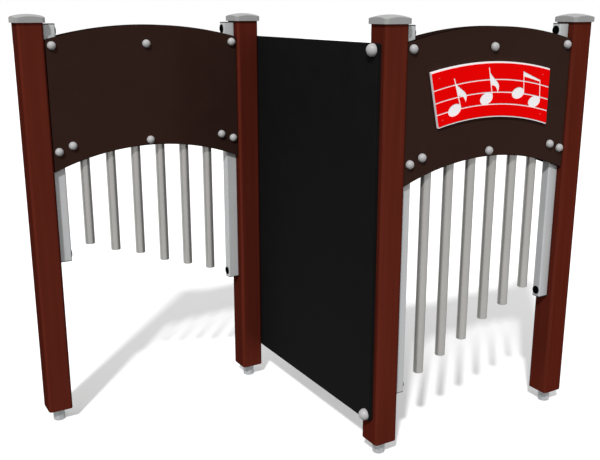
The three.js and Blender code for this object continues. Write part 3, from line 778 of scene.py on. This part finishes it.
def make_board(bay, which):
    """An arched board with a pocket for the tubes in its inner face, and cut edges of another tone."""
    name = f"{which}_{bay.letter}"
    box = bay.box(f"board_{name}")
    thickness = box[1].y - box[0].y
    near = RAIL_HALF_DEPTH + SEAT_GAP
    turn = Matrix() if which == "outer" else Matrix.Rotation(math.pi, 4, "Z")
    body = shell()
    swept(body, board_outline(bay), edge_profile(thickness, BOARD_EDGE),
          turn @ UPRIGHT @ Matrix.Translation((0, 0, near)))
    bolts = shell()
    for x, z in bay.panel_bolts:
        rod(bolts, BOLT_HOLE, turn @ Vector((x, -near + OVERRUN, z)),
            turn @ Vector((x, -near - thickness - OVERRUN, z)))
    pockets = shell()
    inner = bay.pitch / 2 - TUBE_RADIUS - POCKET_MARGIN
    outer = bay.lug_x - bay.pitch / 2 + TUBE_RADIUS + POCKET_MARGIN
    top = bay.tube_top + POCKET_ABOVE_TUBE
    bottom = box[0].z - OVERRUN
    for side in (-1, 1):
        left, right = sorted((side * inner, side * outer))
        corners = [(left, bottom), (right, bottom), (right, top), (left, top)]
        prism(pockets, soften(corners, POCKET_CORNER), near - OVERRUN, near + POCKET_DEPTH,
              turn @ UPRIGHT)
    made = piece(f"arched_board_{name}", carve(body, [bolts, pockets]), BOARD_BROWN,
                 [f"board_{name}"], bay.place)
    made.data.materials.append(BOARD_CORE)
    for face in made.data.polygons:
        if abs(face.normal.y) < BOARD_FACING:
            face.material_index = 1


def dome_profile(radius, height, rim, seat, steps=10):
    """From the seat's edge over the dome to its top."""
    points = [(radius - DOME_LIP, seat), (radius, seat + DOME_LIP)]
    for i in range(steps):
        angle = QUARTER * i / steps
        points.append((radius * math.cos(angle), seat + rim + (height - rim) * math.sin(angle)))
    return points + [(0, seat + height)]


def make_panel_bolt(bay, number):
    """A bolt through both boards, with its domed head on one and a dome nut on the other."""
    name = f"{number + 1}_{bay.letter}"
    x, z = bay.panel_bolts[number]
    head = dome_profile(DOME_RADIUS, DOME_HEIGHT, DOME_RIM, bay.seat)
    nut = [(radius, -height) for radius, height in reversed(head)]
    body = shell()
    turned(body, nut + [(BOLT_RADIUS, -bay.seat), (BOLT_RADIUS, bay.seat)] + head,
           Matrix.Translation((x, 0, z)) @ UPRIGHT, FINE)
    piece(f"domed_bolt_{name}", body, DOME_PLASTIC, [f"panel_bolt_{name}"], bay.place)


# Hanger and tubes

def make_hanger_frame(bay):
    """A beam over the tubes, three lugs that carry the rod, and a spine up to the top bolt."""
    low, high = bay.box(f"hanger_frame_{bay.letter}")
    half = high.x
    depth = RAIL_HALF_DEPTH
    beam_low = bay.tube_top + BEAM_ABOVE_TUBE
    beam_high = beam_low + BEAM_HEIGHT
    points = [(-half, beam_low)]
    for x in bay.lugs:
        points += [(x - LUG_HALF, beam_low), (x - LUG_HALF, low.z), (x + LUG_HALF, low.z),
                   (x + LUG_HALF, beam_low)]
    points += [(half, beam_low), (half, beam_high), (LUG_HALF, beam_high), (LUG_HALF, high.z),
               (-LUG_HALF, high.z), (-LUG_HALF, beam_high), (-half, beam_high)]

    def outline(d):
        return soften(inset(points, d), HANGER_CORNER, steps=3)

    body = shell()
    swept(body, outline, edge_profile(2 * depth, HANGER_EDGE),
          UPRIGHT @ Matrix.Translation((0, 0, -depth)))
    holes = shell()
    for x, z in bay.panel_bolts:
        if abs(x) < half:
            rod(holes, BOLT_HOLE, (x, -depth - OVERRUN, z), (x, depth + OVERRUN, z))
    bore = shell()
    rod(bore, ROD_RADIUS + SEAT_GAP, (-half - OVERRUN, 0, bay.rod_z), (half + OVERRUN, 0, bay.rod_z))
    piece(f"welded_hanger_frame_{bay.letter}", carve(body, [holes, bore]), ZINC,
          [f"hanger_frame_{bay.letter}"], bay.place)


def make_hanger_rod(bay):
    """A rod with a collar in each space between its lugs and tubes."""
    low, high = bay.box(f"hanger_rod_{bay.letter}")
    start, end = low.x, high.x
    stops = [(x, LUG_HALF + SEAT_GAP) for x in bay.lugs]
    stops += [(x, TUBE_RADIUS + COLLAR_GAP) for x in bay.tube_places]
    stops.sort()
    profile = [(0, start), (ROD_RADIUS - COLLAR_EDGE, start), (ROD_RADIUS, start + COLLAR_EDGE)]
    for (x, reach), (next_x, next_reach) in zip(stops, stops[1:]):
        left, right = x + reach, next_x - next_reach
        profile += [(ROD_RADIUS, left), (COLLAR_RADIUS - COLLAR_EDGE, left),
                    (COLLAR_RADIUS, left + COLLAR_EDGE), (COLLAR_RADIUS, right - COLLAR_EDGE),
                    (COLLAR_RADIUS - COLLAR_EDGE, right), (ROD_RADIUS, right)]
    profile += [(ROD_RADIUS, end - COLLAR_EDGE), (ROD_RADIUS - COLLAR_EDGE, end), (0, end)]
    body = shell()
    turned(body, profile, Matrix.Translation((0, 0, bay.rod_z)) @ Matrix.Rotation(QUARTER, 4, "Y"), FINE)
    piece(f"turned_hanger_rod_{bay.letter}", body, ROD_METAL,
          [f"hanger_rod_{bay.letter}"], bay.place)


def make_tube(bay, number):
    name = f"{number + 1}_{bay.letter}"
    box = bay.box(f"bell_tube_{name}")
    centre = middle(box)
    low, high = box[0].z, box[1].z
    inner = TUBE_RADIUS - TUBE_WALL
    wall = [(TUBE_RADIUS - TUBE_CHAMFER, low), (TUBE_RADIUS, low + TUBE_CHAMFER),
            (TUBE_RADIUS, high - TUBE_CHAMFER), (TUBE_RADIUS - TUBE_CHAMFER, high),
            (inner + TUBE_CHAMFER, high), (inner, high - TUBE_CHAMFER),
            (inner, low + TUBE_CHAMFER), (inner + TUBE_CHAMFER, low)]
    body = shell()
    turned(body, wall, Matrix.Translation((centre.x, centre.y, 0)), FINE, loop=True)
    hole = shell()
    rod(hole, ROD_HOLE, (centre.x - TUBE_RADIUS - OVERRUN, centre.y, bay.rod_z),
        (centre.x + TUBE_RADIUS + OVERRUN, centre.y, bay.rod_z))
    piece(f"brushed_tube_{name}", carve(body, [hole]), BELL_METAL,
          [f"bell_tube_{name}"], bay.place, body=f"bell_{name}")


# Sign

def sign_arches(bay):
    """The height of the apex and the radius, of the lower arch and of the upper one."""
    return (bay.sign_top - SIGN_HEIGHT, SIGN_BOTTOM_RADIUS), (bay.sign_top, SIGN_TOP_RADIUS)


def sign_outline(bay, bottom_border=0, top_border=0):
    """A border moves an arch inwards, and the ends stay in place."""
    low, high = sign_arches(bay)
    top = Vector((SIGN_LEFT, arch_height(SIGN_APEX, *high, SIGN_LEFT)))
    bottom = Vector((SIGN_LEFT + SIGN_LEAN, arch_height(SIGN_APEX, *low, SIGN_LEFT + SIGN_LEAN)))

    def left_end(edge, x):
        """Where an arch meets the leaning end, nearer with each round."""
        for _ in range(MEETING_ROUNDS):
            height = arch_height(SIGN_APEX, *edge, x)
            x = top.x + (bottom.x - top.x) * (top.y - height) / (top.y - bottom.y)
        return x

    low = (low[0] + bottom_border, low[1] + bottom_border)
    high = (high[0] - top_border, high[1] - top_border)
    return (arch(SIGN_APEX, *low, left_end(low, bottom.x), SIGN_RIGHT, SIGN_ARC)
            + arch(SIGN_APEX, *high, SIGN_RIGHT, left_end(high, top.x), SIGN_ARC))


def staff_height(bay, x, line):
    share = (STAFF_SHARES[math.floor(line)] + STAFF_SHARES[math.ceil(line)]) / 2
    sag = STAFF_RADIUS - math.sqrt(STAFF_RADIUS ** 2 - (x - SIGN_APEX) ** 2)
    return bay.sign_top - share * SIGN_HEIGHT - sag


def staff_line(bay, line):
    left, right = SIGN_LEFT - OVERRUN, SIGN_RIGHT + OVERRUN
    apex = staff_height(bay, SIGN_APEX, line)
    half = STAFF_LINE / 2
    return (arch(SIGN_APEX, apex - half, STAFF_RADIUS - half, left, right)
            + arch(SIGN_APEX, apex + half, STAFF_RADIUS + half, right, left))


def note_head():
    turn = Matrix.Rotation(HEAD_TILT, 2)
    return [tuple(turn @ Vector((HEAD_LENGTH / 2 * x, HEAD_HEIGHT / 2 * y))) for x, y in circle(1, FINE)]


def note_stem(length):
    right = HEAD_LENGTH / 2
    return [(right - STEM, 0), (right, 0), (right, length), (right - STEM, length)]


def note_flag(length):
    """The flag swings out from the top of the stem, hooks back and closes against the stem."""
    left = HEAD_LENGTH / 2 - STEM
    top = Vector((left, length))
    swing = Vector((left + STEM, length - FLAG_DROP / 2))
    root_z = length - FLAG_DROP * 2 / 3
    belly = Vector((left + FLAG_REACH * 3 / 2, root_z + STEM))
    tip = Vector((left + FLAG_REACH * 2 / 3, length - FLAG_DROP))
    hook = Vector((tip.x, root_z))
    root = Vector((left, root_z))
    points = []
    for i in range(FLAG_STEPS + 1):
        t = i / FLAG_STEPS
        s = 1 - t
        points.append(tuple(top * s ** 3 + swing * 3 * s * s * t + belly * 3 * s * t * t + tip * t ** 3))
    for i in range(1, FLAG_STEPS + 1):
        t = i / FLAG_STEPS
        s = 1 - t
        points.append(tuple(tip * s * s + hook * 2 * s * t + root * t * t))
    return list(reversed(points))


def on_staff(points, note):
    x, z, turn = note
    return [tuple(Matrix.Rotation(turn, 2) @ Vector(point) + Vector((x, z))) for point in points]


def note_beam(first, second):
    tops = [Vector(on_staff([(HEAD_LENGTH / 2, BEAM_STEM)], note)[0]) for note in (first, second)]
    start, end = tops[0] - Vector((STEM, 0)), tops[1]
    drop, end_drop = Vector((0, BEAM_THICKNESS)), Vector((0, BEAM_THICKNESS - BEAM_TAPER))
    return [tuple(point) for point in (start - drop, end - end_drop, end, start)]


def engraving(bay):
    """The cutters of the staff and its notes. The shapes of one cutter don't touch each other."""
    notes = []
    for share, line, turn in zip(NOTE_SHARES, NOTE_LINES, NOTE_TURNS):
        x = SIGN_MIDDLE + share * SIGN_HALF
        notes.append((x, staff_height(bay, x, line), math.radians(turn)))
    flagged, beamed = notes[:2], notes[2:]
    layers = [
        [staff_line(bay, line) for line in range(len(STAFF_SHARES))],
        [on_staff(note_head(), note) for note in notes],
        [on_staff(note_stem(FLAG_STEM), note) for note in flagged]
        + [on_staff(note_stem(BEAM_STEM), note) for note in beamed],
        [on_staff(note_flag(FLAG_STEM), note) for note in flagged],
        [note_beam(*beamed)],
    ]
    cutters = []
    for outlines in layers:
        cutter = shell()
        for shape in outlines:
            prism(cutter, shape, SIGN_THICKNESS - 2 * SIGN_FACE, SIGN_THICKNESS + OVERRUN, bay.sign_place)
        cutters.append(cutter)
    return cutters


def make_sign_core(bay):
    """The white core, which the cut ends, the borders and the engraving bare."""
    points = sign_outline(bay)
    body = shell()
    swept(body, lambda d: soften(inset(points, d), SIGN_CORNER, steps=3),
          edge_profile(SIGN_THICKNESS - SIGN_FACE, SIGN_EDGE), bay.sign_place)
    piece(f"sign_core_{bay.letter}", body, SIGN_WHITE, place=bay.place, sharp=SIGN_SHARP)


def make_sign_face(bay):
    points = sign_outline(bay, SIGN_BOTTOM_BORDER, SIGN_TOP_BORDER)
    body = shell()
    swept(body, lambda d: inset(points, d + SIGN_EDGE),
          [(0, SIGN_THICKNESS - SIGN_FACE), (0, SIGN_THICKNESS - FACE_EDGE), (FACE_EDGE, SIGN_THICKNESS)],
          bay.sign_place)
    piece(f"sign_face_{bay.letter}", carve(body, engraving(bay)), SIGN_RED,
          [f"sign_{bay.letter}"], bay.place, sharp=SIGN_SHARP)


def make_sign_screws(bay):
    """A screw in each corner. The one under the leaning end stands further in."""
    low, high = sign_arches(bay)
    places = []
    for side in (-1, 1):
        x = SIGN_MIDDLE + side * (SIGN_HALF - SCREW_INSET_X)
        low_x = x + SIGN_LEAN / 2 if side < 0 else x
        places += [(x, arch_height(SIGN_APEX, *high, x) - SCREW_INSET_Z),
                   (low_x, arch_height(SIGN_APEX, *low, x) + SCREW_INSET_Z)]
    profile = [(0, -SCREW_EMBED - SIGN_THICKNESS),
               (SCREW_RADIUS, SCREW_POINT - SCREW_EMBED - SIGN_THICKNESS), (SCREW_RADIUS, 0)]
    profile += dome_profile(SCREW_HEAD, SCREW_HEIGHT, SCREW_RIM, 0, steps=6)
    for i, (x, z) in enumerate(places):
        body = shell()
        turned(body, profile, UPRIGHT @ Matrix.Translation((x, z, bay.seat + SIGN_THICKNESS)))
        # The heads' pale pink is partly a painted highlight.
        piece(f"sign_screw_{i + 1}_{bay.letter}", body, SCREW_PAINT_AND_HIGHLIGHT, place=bay.place)


# Partition

def make_partition_bolt(bay, number):
    name = f"{number + 1}_{bay.letter}"
    profile = shank(PARTITION_SHANK, -(2 * PARTITION_HALF + SEAT_GAP + PARTITION_EMBED), SEAT_GAP)
    profile += dome_profile(PARTITION_DOME, PARTITION_DOME_HEIGHT, PARTITION_DOME_RIM, SEAT_GAP, steps=12)
    place = Matrix.Translation((-bay.middle_x - PARTITION_HALF, 0, bay.partition_bolts[number]))
    body = shell()
    turned(body, profile, place @ Matrix.Rotation(-QUARTER, 4, "Y"), FINE)
    piece(f"domed_partition_bolt_{name}", body, DOME_PLASTIC, [f"partition_bolt_{name}"],
          bay.place)


def make_partition(bays):
    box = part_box("partition_board")
    half_y = (box[1].y - box[0].y) / 2
    half_z = (box[1].z - box[0].z) / 2

    def outline(d):
        return rounded_rectangle(half_y - d, half_z - d, PARTITION_CORNER - d)

    # (u, v, height) to (y, z, x)
    place = Matrix(((0, 0, 1, -PARTITION_HALF), (1, 0, 0, 0), (0, 1, 0, middle(box).z), (0, 0, 0, 1)))
    body = shell()
    swept(body, outline, edge_profile(2 * PARTITION_HALF, PARTITION_EDGE), place)
    reach = PARTITION_HALF + OVERRUN
    holes = shell()
    for bay in bays:
        y = bay.place.translation.y
        for z in bay.partition_bolts:
            rod(holes, PARTITION_SHANK + SEAT_GAP, (-reach, y, z), (reach, y, z))
    piece("partition_panel", carve(body, [holes]), PARTITION_BLACK,
          ["partition_board"])


# Assembly

class Bay:
    """The places in one bay, in its own frame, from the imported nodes."""

    def __init__(self, letter):
        self.letter = letter
        self.middle_x = abs(middle(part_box(f"board_outer_{letter}")).x)
        plane = abs(middle(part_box(f"post_outer_{letter}")).y)
        self.place = Matrix.Translation((self.middle_x, -plane, 0))
        if letter == "b":
            self.place = Matrix.Rotation(math.pi, 4, "Z") @ self.place
        board = self.box(f"board_outer_{letter}")
        self.board_half = board[1].x
        self.board_top = board[1].z
        self.board_bottom = self.board_top - BOARD_MID_HEIGHT
        self.seat = -board[0].y + SEAT_GAP  # of the bolts and the sign on the board
        self.sign_top = self.board_top - SIGN_BELOW_TOP
        self.sign_place = UPRIGHT @ Matrix.Translation((0, 0, self.seat))
        tubes = [self.box(f"bell_tube_{i + 1}_{letter}") for i in range(TUBES)]
        self.tube_places = [middle(tube).x for tube in tubes]
        self.tube_top = tubes[0][1].z
        self.pitch = self.tube_places[1] - self.tube_places[0]
        self.lug_x = TUBES / 2 * self.pitch
        self.lugs = (-self.lug_x, 0, self.lug_x)
        self.rod_z = middle(self.box(f"hanger_rod_{letter}")).z
        bolts = [middle(self.box(f"panel_bolt_{i + 1}_{letter}")) for i in range(PANEL_BOLTS)]
        self.panel_bolts = [(bolt.x, bolt.z) for bolt in bolts]
        self.rail_x = max(x for x, _ in self.panel_bolts)
        self.rail_bolts = {}
        for end in ("inner", "outer"):
            low, high = self.box(f"rail_{end}_{letter}")
            self.rail_bolts[end] = (high.z - RAIL_BOLT_TOP, low.z + RAIL_BOLT_BOTTOM)
        self.partition_bolts = [
            middle(self.box(f"partition_bolt_{i + 1}_{letter}")).z for i in range(PARTITION_BOLTS)]

    def box(self, node):
        """A node's box in the bay's own frame."""
        corners = [self.place.inverted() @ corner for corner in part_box(node)]
        return (Vector(map(min, *corners)), Vector(map(max, *corners)))


BAYS = [Bay("a"), Bay("b")]
for bay in BAYS:
    for end, side in (("inner", -1), ("outer", 1)):
        make_post(bay, end, side)
        make_cap(bay, end)
        make_foot(bay, end)
        make_rail(bay, end, side)
        make_rail_plugs(bay, end, side)
        make_rail_bolts(bay, end, side)
    for which in ("outer", "back"):
        make_board(bay, which)
    make_sign_core(bay)
    make_sign_face(bay)
    make_sign_screws(bay)
    make_hanger_frame(bay)
    make_hanger_rod(bay)
    for number in range(TUBES):
        make_tube(bay, number)
    for number in range(PANEL_BOLTS):
        make_panel_bolt(bay, number)
    for number in range(PARTITION_BOLTS):
        make_partition_bolt(bay, number)
make_partition(BAYS)


# Stage, light and camera

def seen_plainly(tree):
    """1 for camera, glossy and transmission rays, which see the white studio as it is."""
    path = tree.nodes.new("ShaderNodeLightPath")
    total = path.outputs["Is Camera Ray"]
    for name in ("Is Glossy Ray", "Is Transmission Ray"):
        larger = tree.nodes.new("ShaderNodeMath")
        larger.operation = "MAXIMUM"
        tree.links.new(total, larger.inputs[0])
        tree.links.new(path.outputs[name], larger.inputs[1])
        total = larger.outputs[0]
    return total


def show(tree, lighting, seen, output_kind):
    """Gives the rays that see the studio one shader, and the rays that light the object another."""
    mix = tree.nodes.new("ShaderNodeMixShader")
    output = tree.nodes.new(output_kind)
    tree.links.new(seen_plainly(tree), mix.inputs[0])
    tree.links.new(lighting.outputs[0], mix.inputs[1])
    tree.links.new(seen.outputs[0], mix.inputs[2])
    tree.links.new(mix.outputs[0], output.inputs["Surface"])


def make_floor():
    corners = [(-FLOOR_HALF, -FLOOR_HALF, 0), (FLOOR_HALF, -FLOOR_HALF, 0),
               (FLOOR_HALF, FLOOR_HALF, 0), (-FLOOR_HALF, FLOOR_HALF, 0)]
    mesh = bpy.data.meshes.new("floor")
    mesh.from_pydata(corners, [], [(0, 1, 2, 3)])
    floor = bpy.data.objects.new("floor", mesh)
    bpy.context.scene.collection.objects.link(floor)
    material = bpy.data.materials.new("studio_floor")
    material.use_nodes = True
    tree = material.node_tree
    tree.nodes.clear()
    glow = tree.nodes.new("ShaderNodeEmission")
    glow.inputs["Strength"].default_value = FLOOR_GLOW
    white = tree.nodes.new("ShaderNodeBsdfDiffuse")
    white.inputs["Color"].default_value = grey(FLOOR_WHITE)
    both = tree.nodes.new("ShaderNodeAddShader")
    tree.links.new(glow.outputs[0], both.inputs[0])
    tree.links.new(white.outputs[0], both.inputs[1])
    bounce = tree.nodes.new("ShaderNodeBsdfDiffuse")
    bounce.inputs["Color"].default_value = grey(FLOOR_BOUNCE)
    show(tree, bounce, both, "ShaderNodeOutputMaterial")
    mesh.materials.append(material)


def make_world():
    world = bpy.data.worlds.new("studio")
    bpy.context.scene.world = world
    world.use_nodes = True
    tree = world.node_tree
    tree.nodes.clear()
    soft = tree.nodes.new("ShaderNodeBackground")
    soft.inputs["Color"].default_value = grey(1)
    soft.inputs["Strength"].default_value = SKY
    white = tree.nodes.new("ShaderNodeBackground")
    white.inputs["Color"].default_value = grey(1)
    white.inputs["Strength"].default_value = 1
    show(tree, soft, white, "ShaderNodeOutputWorld")


def make_sun():
    data = bpy.data.lights.new("key", "SUN")
    data.energy = SUN_STRENGTH
    data.angle = SUN_ANGLE
    sun = bpy.data.objects.new("key", data)
    sun.rotation_euler = Vector(SUN_TOWARDS).to_track_quat("Z", "Y").to_euler()
    bpy.context.scene.collection.objects.link(sun)


def make_camera():
    data = bpy.data.cameras.new("camera")
    data.lens = CAMERA_LENS
    data.sensor_width = CAMERA_SENSOR
    camera = bpy.data.objects.new("camera", data)
    camera.location = CAMERA_PLACE
    camera.rotation_euler = (CAMERA_TILT, 0, CAMERA_TURN)
    bpy.context.scene.collection.objects.link(camera)
    bpy.context.scene.camera = camera


make_floor()
make_world()
make_sun()
make_camera()
bpy.context.scene.view_settings.view_transform = "Standard"

bpy.context.view_layer.update()
